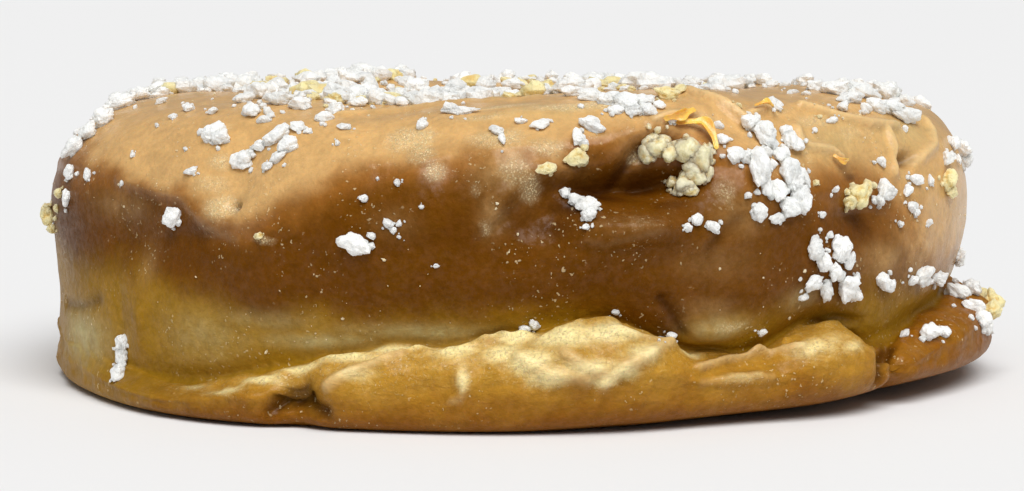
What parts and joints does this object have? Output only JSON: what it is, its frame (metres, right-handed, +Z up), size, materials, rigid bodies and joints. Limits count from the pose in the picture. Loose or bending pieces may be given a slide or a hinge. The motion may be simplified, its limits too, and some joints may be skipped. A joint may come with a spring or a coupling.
{
  "type": "doughnut",
  "caption": "Thick glazed ring doughnut with a folded dough lip round its foot, a round hole through its middle and coarse crumble on its crown.",
  "frame": {"origin": "middle of the base of the whole part's bounding box, at the height of the surface that it rests on; the ring's own upright axis stands 1.56 mm from it on the -X side", "axes": "+Z up, along the ring's axis; -Y towards the side that the picture shows; +X to the right in that view"},
  "size_m": [0.0986, 0.0933, 0.0308],
  "materials": {
    "glazed_crust": "caramel-brown sugar glaze over fried dough, paler round the foot, with matt white and golden crumble"
  },
  "bodies": {
    "root": {"doughnut": "glazed_crust"}
  },
  "joints": []
}
